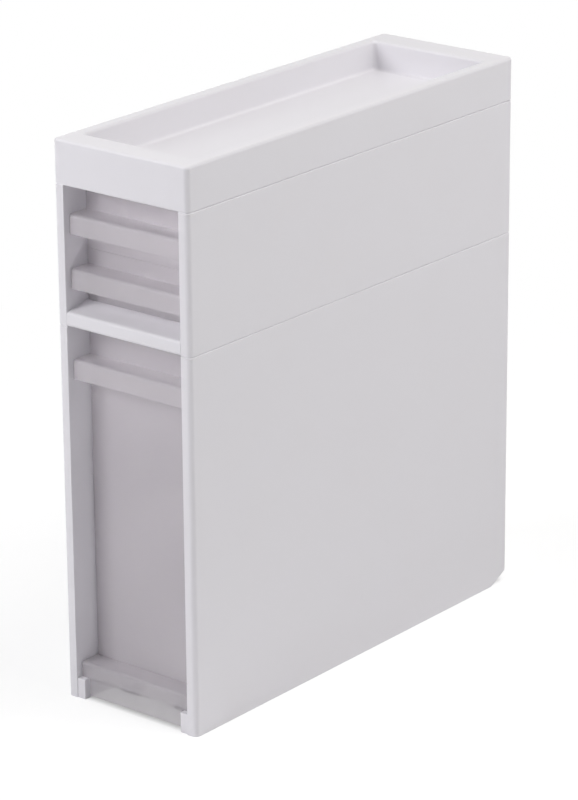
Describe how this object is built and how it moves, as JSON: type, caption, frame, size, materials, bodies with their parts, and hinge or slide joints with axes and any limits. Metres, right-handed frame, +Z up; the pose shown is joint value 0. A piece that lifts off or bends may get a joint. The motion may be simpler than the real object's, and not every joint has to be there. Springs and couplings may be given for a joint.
{
  "type": "slim storage cabinet",
  "caption": "Slim free-standing plastic cabinet with a tray top, shallow pull-out drawers above a crossbar and a tall pull-out drawer on rollers.",
  "frame": {"origin": "centre of the footprint, on the floor", "axes": "+Z up, -Y out of the front where the drawers open, +X to the right seen from the front"},
  "size_m": [0.16, 0.49, 0.55],
  "materials": {
    "white_plastic": "satin moulded polypropylene, faintly cool white",
    "frosted_plastic": "frosted translucent polypropylene",
    "wheel_plastic": "moulded grey nylon",
    "axle_steel": "plain drawn rod"
  },
  "bodies": {
    "cabinet": {"top_tray": "white_plastic", "upper_left_side": "white_plastic", "upper_right_side": "white_plastic", "upper_back": "white_plastic", "middle_shelf": "white_plastic", "lower_left_side": "white_plastic", "lower_right_side": "white_plastic", "lower_back": "white_plastic", "left_guide_rail": "white_plastic", "right_guide_rail": "white_plastic", "base_stretcher": "white_plastic", "module_pins": "white_plastic", "tray_pins": "white_plastic", "top_left_runner": "white_plastic", "top_right_runner": "white_plastic", "second_left_runner": "white_plastic", "second_right_runner": "white_plastic"},
    "top_drawer": {"top_drawer_box": "frosted_plastic"},
    "second_drawer": {"second_drawer_box": "frosted_plastic"},
    "tall_drawer": {"tall_drawer_box": "frosted_plastic", "roller_base": "frosted_plastic"},
    "front_wheelset": {"front_axle": "axle_steel", "front_wheels": "wheel_plastic"},
    "rear_wheelset": {"rear_axle": "axle_steel", "rear_wheels": "wheel_plastic"}
  },
  "joints": [
    {"name": "top_drawer_slide", "type": "slide", "parent": "cabinet", "child": "top_drawer", "axis": [0, -1, 0], "range_m": [0, 0.3]},
    {"name": "second_drawer_slide", "type": "slide", "parent": "cabinet", "child": "second_drawer", "axis": [0, -1, 0], "range_m": [0, 0.3]},
    {"name": "tall_drawer_slide", "type": "slide", "parent": "cabinet", "child": "tall_drawer", "axis": [0, -1, 0], "range_m": [0, 0.33]},
    {"name": "front_wheel_roll", "type": "hinge", "parent": "tall_drawer", "child": "front_wheelset", "pos_m": [0, -0.205, 0.0085], "axis": [1, 0, 0], "range_deg": [0, 2240]},
    {"name": "rear_wheel_roll", "type": "hinge", "parent": "tall_drawer", "child": "rear_wheelset", "pos_m": [0, 0.15, 0.0085], "axis": [1, 0, 0], "range_deg": [0, 2240]}
  ],
  "couplings": [
    {"joint": "front_wheel_roll", "follows": "tall_drawer_slide", "rad_per_m": 117.65},
    {"joint": "rear_wheel_roll", "follows": "tall_drawer_slide", "rad_per_m": 117.65}
  ]
}
